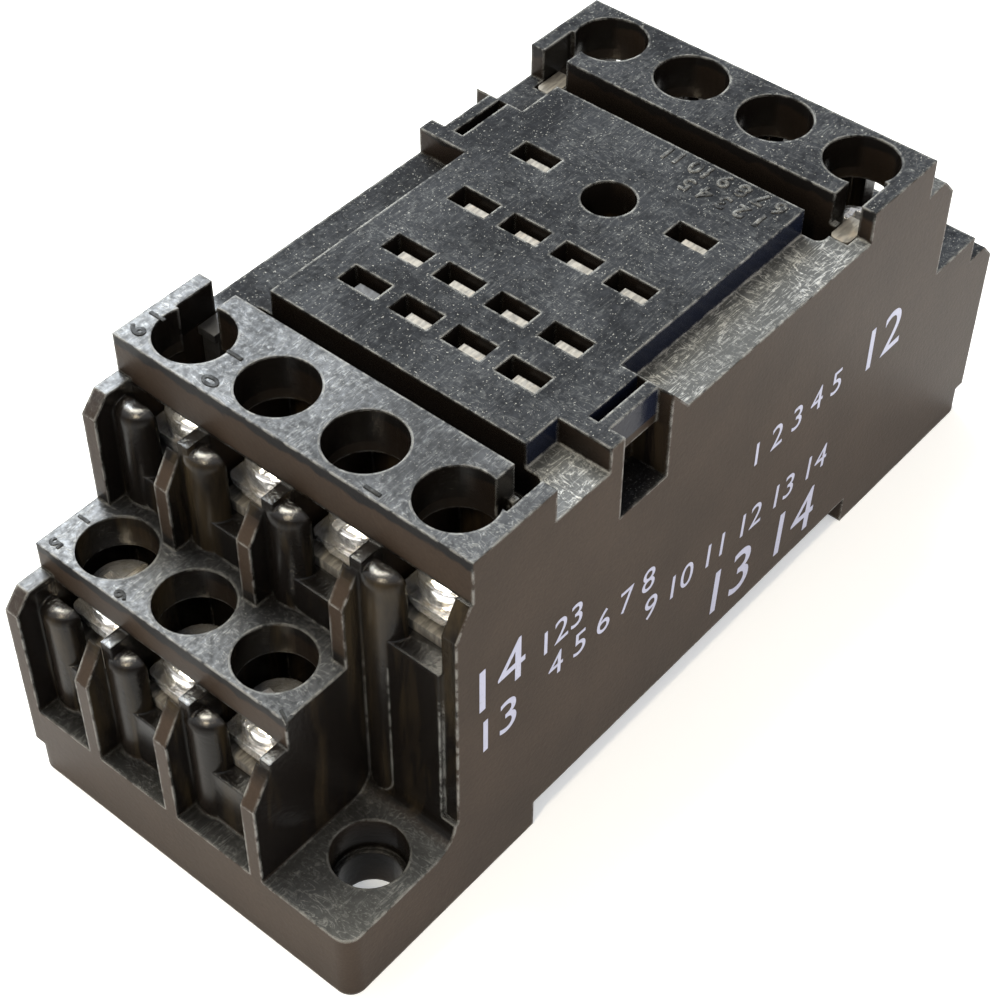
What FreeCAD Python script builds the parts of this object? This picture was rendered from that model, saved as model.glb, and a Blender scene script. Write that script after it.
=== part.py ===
import FreeCAD, Part
import math
import os

# Relay socket: fourteen screw terminals in two tiers at each end, relay seat in the middle.
# X runs along the length, Y across it, Z up. The origin is the middle of the underside.
# Each end is drawn at negative X. The far end is the same shape turned half a turn about Z.

V = FreeCAD.Vector

# Overall sizes, millimetres
LENGTH = 72.0
WIDTH = 29.5
DECK_TOP = 31.6
SIDE_WALL = 1.15
CORNER_RADIUS = 1.2

# Levels of the case
UPPER_PLATE = 3.6
LOWER_TOP = 19.5
LOWER_PLATE = 2.7
BASE_TOP = 6.2
LEDGE_DROP = 2.6
SEAT_DROP = 0.55

# Steps of one end, measured inwards along the length
BAY_DEPTH = 1.7
LOWER_EDGE_IN = 3.3
LOWER_SCREW_IN = 3.1
TIER_STEP = 8.6
UPPER_BAY_DEPTH = 1.5
UPPER_EDGE_IN = 3.3
UPPER_SCREW_IN = 3.25
DECK_INNER_IN = 4.25
SIDE_WALL_SETBACK = 1.8

# Terminal columns
UPPER_SIDE_IN = 3.95
LOWER_SIDE_IN = 4.25
DRIVER_HOLE_R = 2.7
DIVIDER = 1.15
DIVIDER_OFFSET = 0.85
END_DIVIDER_OFFSET = 0.38
CHAMBER_WALL = 0.9
CHAMBER_BACK = 3.7
CHAMBER_LIP = 0.02

# Terminal metal
PLATE_T = 0.8
PLATE_MARGIN = 0.05
PLATE_FRONT = 3.3
CLAMP_T = 0.8
CLAMP_SIDE_GAP = 0.15
CLAMP_DEPTH = 5.4
CLAMP_TRAVEL = 2.0
CLAMP_GAP = 0.05
GROOVE_R = 0.9
GROOVE_IN = 0.95
GROOVE_RISE = 0.35
HEAD_R = 2.5
HEAD_T = 1.8
SHANK_R = 1.45
SHANK_LENGTH = 7.4
THREAD_GAP = 0.05
CAPTIVE_GAP = 0.3
HEAD_ROOM = 0.2
CROSS_WIDTH = 0.6
CROSS_LENGTH = 3.2
CROSS_DEPTH = 0.9
SHANK_BORE_GAP = 0.5

# How far each clamp stands above its closed place, near end then far end
UPPER_LIFTS = ((0.2, 0.3, 0.2, 0.25), (0.25, 1.2, 1.7, 1.8))
LOWER_LIFTS = ((1.4, 0.2, 0.3), (0.2, 0.3, 0.2))

# Wire guide post in each bay
POST_R = 1.75
POST_IN = 1.05
POST_PROUD = 0.3
POST_CUT_BACK = 1.2
UPPER_POST_BELOW = 0.4
LOWER_POST_BELOW = 0.95
POST_ROUND = 0.9

# Relay seat, and the trench between it and the deck of each end
SEAT_TRENCH = 2.15
TRENCH_DEPTH = 2.6
TRENCH_OVERLAP = 0.1
TRENCH_ROUND = 0.7
SEAT_HALF_WIDTH = 10.6
BLADE_ROWS = (-9.9, -5.75, 0.8, 7.25)
BLADE_PITCH = 4.4
SLOT_LONG = 3.2
SLOT_WIDE = 1.8
SLOT_WEB = 1.8
POCKET_LONG = 3.5
POCKET_WIDE = 2.8
KEY_HOLE_X = 6.9
KEY_HOLE_R = 1.9
KEY_HOLE_DEPTH = 6.0

# Contact strips
STRIP_T = 0.6
STRIP_WIDTH = 2.0
STRIP_GAP = 0.25
LATE_BENDS = ("far_upper_1", "far_upper_4", "near_lower_1", "far_lower_1", "far_lower_2")
LEAF_T = 0.95
LEAF_WIDTH = 2.0
LEAF_START = -0.85
LEAF_SIDE = -1.5
LEAF_ROUND = 0.4
LEAF_BELOW_SEAT = 0.45
SPRING_LEAF_T = 0.25
SPRING_LEAF_DROP = 0.6
BLADE_GAP = 0.25
CORNER_TAB_WIDTH = 1.5
CORNER_TAB_GAP = 0.1
CORNER_TAB_OVER_TRENCH = 1.0
CORNER_TAB_IN_NOTCH = 1.7
CORNER_TAB_ROUND = 0.5
CORNER_TAB_BELOW_LEDGE = 0.05

# Clip brackets beside the seat
CLIP_START = -11.5
CLIP_LENGTH = 6.1
CLIP_RAMP = 1.7
CLIP_SHIFT = 16.0
CLIP_WINDOW_IN = 1.3
CLIP_WINDOW = 4.75
CLIP_WINDOW_DROP = 7.0
CLIP_BAR_SETBACK = 1.15
CLIP_BAR_T = 0.9
CLIP_BAR_HEIGHT = 2.85
CLIP_SLOT = 0.75

# Deck corner notches
NOTCH_SIDE_IN = 3.25
NOTCH_LENGTH = 3.2

# Mounting holes
MOUNT_IN = 6.0
MOUNT_SIDE_IN = 3.75
MOUNT_R = 2.2
MOUNT_TOP_R = 2.6
MOUNT_STEP = 3.2
COVE_R = 2.0

# Rail recess, fixed hooks and sliding latch
RAIL_NEAR = 18.0
RAIL_FAR = 19.0
RAIL_DEPTH = 2.45
HOOK_REACH = 1.1
HOOK_T = 1.0
HOOK_INNER_Y = 4.0
HOOK_OUTER_Y = 10.5
LATCH_HALF_WIDTH = 4.4
LATCH_FLANGE = 0.75
LATCH_HEIGHT = 3.1
LATCH_FLANGE_Z = 1.3
LATCH_FLANGE_T = 0.9
LATCH_GAP = 0.12
LATCH_REACH = 1.4
LATCH_LIP_T = 0.95
LATCH_END_IN = 1.1
LATCH_FLOOR = 0.15
LATCH_NOSE = 4.2
LATCH_END_WEB = 1.4
LATCH_STOP_GAP = 0.15
SPRING_SLOT_HALF = 1.55
SPRING_R = 1.0
SPRING_WIRE_R = 0.17
SPRING_TURNS = 6
SPRING_PEG_T = 1.2
SPRING_GAP = 0.1

# Inner mouldings
CAVITY_IN = 0.35
CAVITY_WALL = 1.5
INNER_GAP = 0.1
COVER_T = 1.9
COVER_RIB_T = 2.0
COVER_RIB_IN = 3.25
COVER_RIB_MIDDLE = -1.5
COVER_RIB_FAR_IN = 4.25

# Places worked out from the sizes above
HALF_L = LENGTH / 2.0
HALF_W = WIDTH / 2.0
INNER_Y = HALF_W - SIDE_WALL
UPPER_PITCH = 2 * (HALF_W - UPPER_SIDE_IN) / 3
LOWER_PITCH = 2 * (HALF_W - LOWER_SIDE_IN) / 3
CLAMP_ROOM = min(UPPER_SIDE_IN - SIDE_WALL, (LOWER_PITCH - CHAMBER_WALL) / 2)
CLAMP_WIDTH = 2 * (CLAMP_ROOM - CLAMP_SIDE_GAP)
PLATE_WIDTH = CLAMP_WIDTH - 2 * PLATE_MARGIN
UPPER_UNDER = DECK_TOP - UPPER_PLATE
LOWER_UNDER = LOWER_TOP - LOWER_PLATE
LEDGE = DECK_TOP - LEDGE_DROP
SEAT_TOP = DECK_TOP - SEAT_DROP
LOWER_WALL = HALF_L - BAY_DEPTH
LOWER_EDGE = HALF_L - LOWER_EDGE_IN
LOWER_SCREW = LOWER_EDGE - LOWER_SCREW_IN
UPPER_FRONT = HALF_L - TIER_STEP
UPPER_WALL = UPPER_FRONT - UPPER_BAY_DEPTH
UPPER_EDGE = UPPER_FRONT - UPPER_EDGE_IN
UPPER_SCREW = UPPER_EDGE - UPPER_SCREW_IN
DECK_INNER = UPPER_SCREW - DECK_INNER_IN
SEAT_HALF_LENGTH = DECK_INNER - SEAT_TRENCH
NOTCH_INNER = HALF_W - NOTCH_SIDE_IN
MOUNT_Y = HALF_W - MOUNT_SIDE_IN
TAB_OUTER = INNER_Y - CORNER_TAB_GAP
TAB_INNER = TAB_OUTER - CORNER_TAB_WIDTH
TAB_TOP = LEDGE - CORNER_TAB_BELOW_LEDGE
TAB_FRONT = DECK_INNER - CORNER_TAB_OVER_TRENCH
CHAMBER_HEIGHT = PLATE_T + CLAMP_GAP + CLAMP_T + HEAD_T + CLAMP_TRAVEL + HEAD_ROOM
UPPER_FLOOR = UPPER_UNDER - CHAMBER_HEIGHT
LOWER_FLOOR = LOWER_UNDER - CHAMBER_HEIGHT
UPPER_COLUMNS = [UPPER_PITCH * (1.5 - k) for k in range(4)]
LOWER_COLUMNS = [LOWER_PITCH * (1.5 - k) for k in range(3)]
DIVIDERS = [UPPER_PITCH * (1 - k) + DIVIDER_OFFSET for k in range(2)]
END_DIVIDER = -UPPER_PITCH + END_DIVIDER_OFFSET
BLADE_COLUMNS = [BLADE_PITCH * (1.5 - k) for k in range(4)]
CAVITY_X = DECK_INNER - CAVITY_IN
CAVITY_Y = HALF_W - CAVITY_WALL
COVER_RIBS = (-CAVITY_X + COVER_RIB_IN, COVER_RIB_MIDDLE, CAVITY_X - COVER_RIB_FAR_IN)
LATCH_OUTER = HALF_L - LATCH_END_IN
SPRING_START = RAIL_FAR + LATCH_NOSE
SPRING_END = LATCH_OUTER - LATCH_END_WEB - LATCH_STOP_GAP - SPRING_PEG_T


def box(x0, x1, y0, y1, z0, z1):
    """A block between two values on each axis, in either order."""
    low = V(min(x0, x1), min(y0, y1), min(z0, z1))
    return Part.makeBox(abs(x1 - x0), abs(y1 - y0), abs(z1 - z0), low)


def drum(x, y, z0, z1, radius):
    """An upright cylinder."""
    return Part.makeCylinder(radius, z1 - z0, V(x, y, z0))


def side_plate(points, y0, y1):
    """A plate between two Y values whose outline is given as (x, z) points."""
    wire = Part.makePolygon([V(x, y0, z) for x, z in points] + [V(points[0][0], y0, points[0][1])])
    return Part.Face(wire).extrude(V(0, y1 - y0, 0))


def fused(shapes):
    """One solid from several that overlap or share faces."""
    whole = shapes[0].multiFuse(shapes[1:]) if len(shapes) > 1 else shapes[0]
    return whole.removeSplitter()


def less(shape, tools):
    """A solid with the tools cut away."""
    return shape.cut(tools).removeSplitter()


def turned(shape):
    """The same shape at the far end, turned half a turn about Z."""
    copy = shape.copy()
    copy.rotate(V(0, 0, 0), V(0, 0, 1), 180)
    return copy


def one_solid(shape):
    """The single solid of a result."""
    if len(shape.Solids) != 1:
        raise ValueError("expected one solid, found %d" % len(shape.Solids))
    return shape.Solids[0]


def divider_profile(front, floor, under, deck_edge):
    """Outline of a bay divider: upright front edge, long chamfer, top under the deck."""
    chamfer = 3.2
    back = deck_edge - 4.0
    return [(-front, floor), (-front, under - chamfer), (-front + 1.8, under - 0.4),
            (-front + 2.2, under), (-back, under), (-back, floor)]


def end_wall_profile(front, floor, under, deck_edge):
    """Outline of the outer wall of a tier: it stands a little higher and has a short chamfer."""
    rise = 0.5
    back = deck_edge - 4.0
    return [(-front, floor), (-front, under - 0.9), (-front + 1.25, under + rise),
            (-deck_edge - 0.1, under + rise), (-deck_edge + 0.5, under), (-back, under), (-back, floor)]


def bay_faces(tier_columns):
    """Left and right faces of each wire bay of a tier, from the left wall on."""
    lefts = [INNER_Y] + [y - DIVIDER / 2 for y in DIVIDERS] + [END_DIVIDER - DIVIDER / 2]
    rights = [y + DIVIDER / 2 for y in DIVIDERS] + [END_DIVIDER + DIVIDER / 2, -INNER_Y]
    return list(zip(lefts, rights))[:tier_columns]


def chamber_faces(columns, pitch):
    """Left and right faces of each screw chamber of a tier."""
    half = (pitch - CHAMBER_WALL) / 2
    return [(min(y + half, INNER_Y), max(y - half, -INNER_Y)) for y in columns]


def guide_post(wall, left, floor, top):
    """Rounded wire guide at the left of a bay, standing a little proud of its back wall."""
    x = -wall + POST_R - POST_PROUD
    y = left - POST_IN
    post = drum(x, y, floor, top, POST_R)
    rim = [e for e in post.Edges if abs(e.BoundBox.ZMin - top) < 1e-6 and e.BoundBox.ZLength < 1e-6]
    post = post.makeFillet(POST_ROUND, rim)
    return post.common(box(-wall - POST_R, -wall + POST_CUT_BACK, y - 2 * POST_R, y + 2 * POST_R, floor, top))


def end_block(foot_inner):
    """One end of the case before its screw chambers, bays and holes are cut."""
    base = box(-HALF_L, -foot_inner, -HALF_W, HALF_W, 0, BASE_TOP)
    upright = [e for e in base.Edges
               if e.BoundBox.ZLength > BASE_TOP - 1e-6 and e.BoundBox.XMin < -HALF_L + 1e-6]
    base = base.makeFillet(CORNER_RADIUS, upright)
    right = END_DIVIDER - DIVIDER / 2
    solids = [
        base,
        box(-LOWER_WALL, -UPPER_WALL, right, HALF_W, RAIL_DEPTH, LOWER_UNDER),
        box(-LOWER_EDGE, -UPPER_WALL, right, HALF_W, LOWER_UNDER, LOWER_TOP),
        box(-UPPER_WALL, -DECK_INNER, -HALF_W, HALF_W, RAIL_DEPTH, UPPER_UNDER),
        box(-UPPER_EDGE, -DECK_INNER, -HALF_W, HALF_W, UPPER_UNDER, DECK_TOP),
    ]
    lower = divider_profile(HALF_L, RAIL_DEPTH, LOWER_UNDER, LOWER_EDGE)
    upper = divider_profile(UPPER_FRONT, LOWER_UNDER, UPPER_UNDER, UPPER_EDGE)
    for y in DIVIDERS + [END_DIVIDER]:
        solids.append(side_plate(lower, y - DIVIDER / 2, y + DIVIDER / 2))
        solids.append(side_plate(upper, y - DIVIDER / 2, y + DIVIDER / 2))
    outer_lower = end_wall_profile(HALF_L, RAIL_DEPTH, LOWER_UNDER, LOWER_EDGE)
    outer_upper = end_wall_profile(UPPER_FRONT, LOWER_UNDER, UPPER_UNDER, UPPER_EDGE)
    solids.append(side_plate(outer_lower, INNER_Y, HALF_W))
    solids.append(side_plate(outer_upper, INNER_Y, HALF_W))
    cove = box(-UPPER_WALL - COVE_R, -UPPER_WALL, right, -HALF_W, RAIL_DEPTH, BASE_TOP + COVE_R)
    hollow = Part.makeCylinder(COVE_R, WIDTH, V(-UPPER_WALL - COVE_R, -HALF_W, BASE_TOP + COVE_R), V(0, 1, 0))
    solids.append(cove.cut(hollow))
    return fused(solids)


def end_cuts():
    """Everything that is cut out of one end."""
    cuts = []
    for left, right in chamber_faces(UPPER_COLUMNS, UPPER_PITCH):
        cuts.append(box(-UPPER_WALL - CHAMBER_LIP, -UPPER_SCREW + CHAMBER_BACK, right, left,
                        UPPER_FLOOR, UPPER_UNDER))
    for left, right in chamber_faces(LOWER_COLUMNS, LOWER_PITCH):
        cuts.append(box(-LOWER_WALL - CHAMBER_LIP, -LOWER_SCREW + CHAMBER_BACK, right, left,
                        LOWER_FLOOR, LOWER_UNDER))
    bore = SHANK_R + SHANK_BORE_GAP
    for y in UPPER_COLUMNS:
        cuts.append(drum(-UPPER_SCREW, y, UPPER_UNDER - 1, DECK_TOP + 1, DRIVER_HOLE_R))
        cuts.append(drum(-UPPER_SCREW, y, UPPER_FLOOR + PLATE_T - SHANK_LENGTH, UPPER_FLOOR + 1, bore))
    for y in LOWER_COLUMNS:
        cuts.append(drum(-LOWER_SCREW, y, LOWER_UNDER - 1, LOWER_TOP + 1, DRIVER_HOLE_R))
        cuts.append(drum(-LOWER_SCREW, y, LOWER_FLOOR + PLATE_T - SHANK_LENGTH, LOWER_FLOOR + 1, bore))
    side_back = UPPER_FRONT - SIDE_WALL_SETBACK
    cuts.append(box(-UPPER_WALL - 1, -side_back, -HALF_W - 1, -INNER_Y, BASE_TOP + COVE_R, UPPER_UNDER))
    wall_chamfer = side_plate([(-side_back - 1, UPPER_UNDER - 2.2), (-side_back, UPPER_UNDER - 2.2),
                               (-UPPER_EDGE - 0.2, UPPER_UNDER), (-side_back - 1, UPPER_UNDER)],
                              -HALF_W - 1, -INNER_Y)
    cuts.append(wall_chamfer)
    for side in (-1, 1):
        cuts.append(box(-DECK_INNER - NOTCH_LENGTH, -DECK_INNER + 0.1, side * NOTCH_INNER,
                        side * INNER_Y, LEDGE, DECK_TOP + 1))
        cuts.append(box(-DECK_INNER - NOTCH_LENGTH, -UPPER_SCREW + CHAMBER_BACK, side * NOTCH_INNER,
                        side * INNER_Y, UPPER_UNDER - 1, LEDGE + 1))
        cuts.append(box(-DECK_INNER - NOTCH_LENGTH, -TAB_FRONT + CORNER_TAB_GAP,
                        side * (TAB_INNER - CORNER_TAB_GAP), side * INNER_Y,
                        TAB_TOP - STRIP_T - CORNER_TAB_GAP, LEDGE + 1))
    cuts.append(drum(-HALF_L + MOUNT_IN, -MOUNT_Y, -1, MOUNT_STEP + 1, MOUNT_R))
    cuts.append(drum(-HALF_L + MOUNT_IN, -MOUNT_Y, MOUNT_STEP, BASE_TOP + COVE_R + 1, MOUNT_TOP_R))
    return cuts


def end_posts():
    """Wire guide posts of one end."""
    upper = bay_faces(4)
    lower = bay_faces(3)
    upper_top = UPPER_UNDER - UPPER_POST_BELOW
    lower_top = LOWER_UNDER - LOWER_POST_BELOW
    posts = [guide_post(UPPER_WALL, left, LOWER_TOP - 0.5, upper_top) for left, _ in upper[:3]]
    posts.append(guide_post(UPPER_WALL, upper[3][0], BASE_TOP - 0.5, upper_top))
    posts += [guide_post(LOWER_WALL, left, BASE_TOP - 0.5, lower_top) for left, _ in lower]
    return posts


def strip_route(terminal):
    """Plan points of a contact strip, from the chamber's back wall to its blade pocket.

    A strip that passes the forks of another row keeps straight and bends late."""
    name, _, terminal_x, terminal_y, _, (row_x, column_y) = terminal
    sign = 1 if terminal_x > 0 else -1
    start = sign * (abs(terminal_x) - CHAMBER_BACK + 0.4)
    jog = abs(terminal_y - column_y)
    bend = row_x + sign * (jog + 1.2) if name in LATE_BENDS else sign * (CAVITY_X - 1.0)
    if abs(bend) > CAVITY_X - 1.0:
        bend = sign * (CAVITY_X - 1.0)
    settle = bend - sign * (jog + 0.4)
    if abs(settle - row_x) < 0.3 or (settle - row_x) * sign < 0:
        settle = row_x + sign * 0.3
    return [(start, terminal_y), (bend, terminal_y), (settle, column_y), (row_x, column_y)]


def ribbon(points, width, z0, z1, end_extra):
    """A flat strip of constant width along plan points, its last end made longer."""
    pieces = []
    for (xa, ya), (xb, yb) in zip(points, points[1:]):
        length = math.hypot(xb - xa, yb - ya)
        ux, uy = (xb - xa) / length, (yb - ya) / length
        last = (xb, yb) == points[-1]
        reach = end_extra if last else 0.0
        xb, yb = xb + ux * reach, yb + uy * reach
        nx, ny = -uy * width / 2, ux * width / 2
        corners = [V(xa + nx, ya + ny, z0), V(xb + nx, yb + ny, z0), V(xb - nx, yb - ny, z0),
                   V(xa - nx, ya - ny, z0)]
        wire = Part.makePolygon(corners + [corners[0]])
        pieces.append(Part.Face(wire).extrude(V(0, 0, z1 - z0)))
        if not last:
            pieces.append(drum(xb, yb, z0, z1, width / 2))
    return fused(pieces)


def terminal_list():
    """Name, tier, end, screw place, rest lift and blade place of all fourteen terminals."""
    rows_a, rows_b, rows_c, rows_d = BLADE_ROWS
    blades = {
        ("upper", -1): [(rows_a, y) for y in BLADE_COLUMNS],
        ("upper", 1): [(rows_c, y) for y in reversed(BLADE_COLUMNS)],
        ("lower", -1): [(rows_b, y) for y in BLADE_COLUMNS[:3]],
        ("lower", 1): [(rows_d, BLADE_COLUMNS[3]), (rows_b, BLADE_COLUMNS[3]), (rows_d, BLADE_COLUMNS[0])],
    }
    found = []
    for end, end_name, at in ((-1, "near", 0), (1, "far", 1)):
        for k, y in enumerate(UPPER_COLUMNS):
            found.append(("%s_upper_%d" % (end_name, k + 1), "upper", end * UPPER_SCREW, -end * y,
                          UPPER_LIFTS[at][k], blades[("upper", end)][k]))
        for k, y in enumerate(LOWER_COLUMNS):
            found.append(("%s_lower_%d" % (end_name, k + 1), "lower", end * LOWER_SCREW, -end * y,
                          LOWER_LIFTS[at][k], blades[("lower", end)][k]))
    return found


def tier_floor(tier):
    """Level of the chamber floor of a tier, which is the underside of its terminal plates."""
    return UPPER_FLOOR if tier == "upper" else LOWER_FLOOR


def strip_channel(terminal):
    """Room for one contact strip in the mouldings."""
    z = tier_floor(terminal[1])
    width = STRIP_WIDTH + 2 * STRIP_GAP
    return ribbon(strip_route(terminal), width, z, z + STRIP_T + STRIP_GAP, POCKET_WIDE / 2)


def blade_pockets(top, bottom, rows):
    """Square pockets for the forks under the given blade rows."""
    pockets = []
    for x, columns in rows:
        for y in columns:
            pockets.append(box(x - POCKET_WIDE / 2, x + POCKET_WIDE / 2, y - POCKET_LONG / 2,
                               y + POCKET_LONG / 2, bottom, top))
    return pockets


def row_columns():
    """Blade columns used by each row: the last row has only the two outer ones."""
    last = [BLADE_COLUMNS[0], BLADE_COLUMNS[3]]
    return [(BLADE_ROWS[0], BLADE_COLUMNS), (BLADE_ROWS[1], BLADE_COLUMNS),
            (BLADE_ROWS[2], BLADE_COLUMNS), (BLADE_ROWS[3], last)]


def clip_bracket(shift, side):
    """Hold-down clip bracket beside the seat, before its window is cut."""
    start = CLIP_START + shift
    end = start + CLIP_LENGTH
    profile = [(start, LEDGE - 0.5), (start, SEAT_TOP), (end, SEAT_TOP), (end + CLIP_RAMP, LEDGE),
               (end + CLIP_RAMP, LEDGE - 0.5)]
    return side_plate(profile, side * (SEAT_HALF_WIDTH - 0.5), side * HALF_W)


def clip_window(shift, side):
    """Window in the side wall with a bar left across its top, and the clip slot behind the bar."""
    start = CLIP_START + shift + CLIP_WINDOW_IN
    end = start + CLIP_WINDOW
    bar_outer = HALF_W - CLIP_BAR_SETBACK
    bar_inner = bar_outer - CLIP_BAR_T
    slot_inner = bar_inner - CLIP_SLOT
    room = box(start, end, side * slot_inner, side * (HALF_W + 1), SEAT_TOP - CLIP_WINDOW_DROP, SEAT_TOP + 1)
    bar = box(start, end, side * bar_inner, side * bar_outer, SEAT_TOP - CLIP_BAR_HEIGHT, SEAT_TOP + 2)
    return room.cut(bar)


def latch_channel():
    """T-shaped channel of the sliding latch in the far foot."""
    half = LATCH_HALF_WIDTH + LATCH_GAP
    flange = half + LATCH_FLANGE
    roof = LATCH_HEIGHT + LATCH_GAP
    main = box(RAIL_FAR - 1, HALF_L + 1, -half, half, -1, roof)
    wide = box(RAIL_FAR - 1, HALF_L + 1, -flange, flange, LATCH_FLANGE_Z - LATCH_GAP,
               LATCH_FLANGE_Z + LATCH_FLANGE_T + LATCH_GAP)
    return fused([main, wide])


def spring_peg():
    """Peg of the case that the latch spring pushes against."""
    return box(SPRING_END, SPRING_END + SPRING_PEG_T, -SPRING_SLOT_HALF + 0.35, SPRING_SLOT_HALF - 0.35,
               LATCH_FLOOR + 0.45, LATCH_HEIGHT + LATCH_GAP + 0.5)


def seat_trench(side):
    """Trench between the relay seat and a deck, with round corners on the seat's side."""
    half = TAB_INNER + TRENCH_OVERLAP
    trench = box(side * SEAT_HALF_LENGTH, side * DECK_INNER, -half, half, LEDGE - TRENCH_DEPTH, LEDGE + 0.5)
    corners = [e for e in trench.Edges if e.BoundBox.ZLength > TRENCH_DEPTH
               and abs(abs(e.BoundBox.Center.x) - SEAT_HALF_LENGTH) < 1e-6]
    return trench.makeFillet(TRENCH_ROUND, corners)


def make_housing():
    """The moulded case."""
    near = end_block(RAIL_NEAR)
    far = turned(end_block(RAIL_FAR))
    middle = box(-DECK_INNER - 0.5, DECK_INNER + 0.5, -HALF_W, HALF_W, RAIL_DEPTH, LEDGE)
    seat = box(-SEAT_HALF_LENGTH, SEAT_HALF_LENGTH, -SEAT_HALF_WIDTH, SEAT_HALF_WIDTH, LEDGE - 0.5, SEAT_TOP)
    brackets = [clip_bracket(0, -1), clip_bracket(CLIP_SHIFT, 1)]
    body = fused([near, middle, far, seat] + brackets)
    cuts = end_cuts()
    cuts += [turned(c) for c in end_cuts()]
    cuts += [clip_window(0, -1), clip_window(CLIP_SHIFT, 1)]
    cuts += [seat_trench(-1), seat_trench(1)]
    cuts.append(box(-CAVITY_X, CAVITY_X, -CAVITY_Y, CAVITY_Y, RAIL_DEPTH - 1, UPPER_FLOOR))
    for x, columns in row_columns():
        for y in columns:
            cuts.append(box(x - SLOT_WIDE / 2, x + SLOT_WIDE / 2, y - SLOT_LONG / 2, y + SLOT_LONG / 2,
                            SEAT_TOP - SLOT_WEB - 0.5, SEAT_TOP + 1))
    cuts += blade_pockets(SEAT_TOP - SLOT_WEB, UPPER_FLOOR - 1, row_columns())
    cuts.append(drum(KEY_HOLE_X, 0, SEAT_TOP - KEY_HOLE_DEPTH, SEAT_TOP + 1, KEY_HOLE_R))
    cuts += [strip_channel(t) for t in terminal_list()]
    cuts.append(latch_channel())
    body = less(body, cuts)
    hooks = [box(-RAIL_NEAR - 0.5, -RAIL_NEAR + HOOK_REACH, side * HOOK_INNER_Y, side * HOOK_OUTER_Y, 0, HOOK_T)
             for side in (-1, 1)]
    posts = end_posts()
    posts += [turned(p) for p in posts]
    return one_solid(fused([body, spring_peg()] + hooks + posts))


def make_carrier():
    """Inner moulding that holds the upper strips down and the lower strips' forks apart."""
    x = CAVITY_X - INNER_GAP
    y = CAVITY_Y - INNER_GAP
    bottom = LOWER_FLOOR + STRIP_T + STRIP_GAP
    top = UPPER_FLOOR - INNER_GAP
    block = box(-x, x, -y, y, bottom, top)
    rows = [row for row in row_columns() if row[0] in (BLADE_ROWS[1], BLADE_ROWS[3])]
    return one_solid(less(block, blade_pockets(top + 1, bottom - 1, rows)))


def make_cover():
    """Bottom cover: a plate in the rail recess with ribs that carry the lower strips."""
    x = CAVITY_X - INNER_GAP
    y = CAVITY_Y - INNER_GAP
    plate = box(-x, x, -y, y, RAIL_DEPTH, RAIL_DEPTH + COVER_T)
    ribs = [box(r - COVER_RIB_T / 2, r + COVER_RIB_T / 2, -y, y, RAIL_DEPTH, LOWER_FLOOR - INNER_GAP)
            for r in COVER_RIBS]
    return one_solid(fused([plate] + ribs))


def make_contact(terminal):
    """Stamped contact: terminal plate, strip and fork, in one piece."""
    _, tier, x, y, _, (row_x, column_y) = terminal
    z = tier_floor(tier)
    sign = 1 if x > 0 else -1
    half = PLATE_WIDTH / 2
    back = x - sign * (CHAMBER_BACK - STRIP_GAP)
    plate = box(x + sign * PLATE_FRONT, back, y - half, y + half, z, z + PLATE_T)
    front = [e for e in plate.Edges if e.BoundBox.ZLength > PLATE_T - 1e-6
             and abs(abs(e.BoundBox.XMin) - abs(x + sign * PLATE_FRONT)) < 1e-6]
    plate = plate.makeFillet(1.0, front)
    strip = ribbon(strip_route(terminal), STRIP_WIDTH, z, z + STRIP_T, SPRING_LEAF_T)
    bridge = box(back - sign * 1.0, back + sign * 1.0, y - STRIP_WIDTH / 2, y + STRIP_WIDTH / 2, z, z + STRIP_T)
    top = SEAT_TOP - LEAF_BELOW_SEAT
    front = row_x + LEAF_START
    side_y = column_y + LEAF_SIDE
    leaf = box(front, front + LEAF_T, side_y, side_y + LEAF_WIDTH, z, top)
    rim = [e for e in leaf.Edges if e.BoundBox.ZMin > top - 1e-6 and e.BoundBox.XMax < front + 1e-6]
    leaf = leaf.makeFillet(LEAF_ROUND, rim)
    second = front + LEAF_T + BLADE_GAP
    spring = box(second, second + SPRING_LEAF_T, side_y, side_y + LEAF_WIDTH, z, top - SPRING_LEAF_DROP)
    foot = box(front, second + SPRING_LEAF_T, side_y, column_y + STRIP_WIDTH / 2, z, z + STRIP_T)
    pieces = [plate, bridge, strip, leaf, spring, foot]
    if tier == "upper" and abs(y) > UPPER_PITCH:
        side = 1 if y > 0 else -1
        pieces.append(box(back, back + sign * STRIP_T, side * TAB_INNER, side * TAB_OUTER, z, TAB_TOP))
        tab = box(sign * TAB_FRONT, sign * (DECK_INNER + CORNER_TAB_IN_NOTCH), side * TAB_INNER,
                  side * TAB_OUTER, TAB_TOP - STRIP_T, TAB_TOP)
        ends = [e for e in tab.Edges if e.BoundBox.ZLength > STRIP_T - 1e-6
                and abs(abs(e.BoundBox.Center.x) - TAB_FRONT) < 1e-6]
        pieces.append(tab.makeFillet(CORNER_TAB_ROUND, ends))
        pieces.append(box(back, back + sign * STRIP_T, side * (abs(y) + half - 0.5), side * TAB_OUTER, z,
                          z + PLATE_T))
    body = fused(pieces)
    hole = drum(x, y, z - 1, z + PLATE_T + 1, SHANK_R + THREAD_GAP)
    return one_solid(less(body, [hole]))


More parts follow.
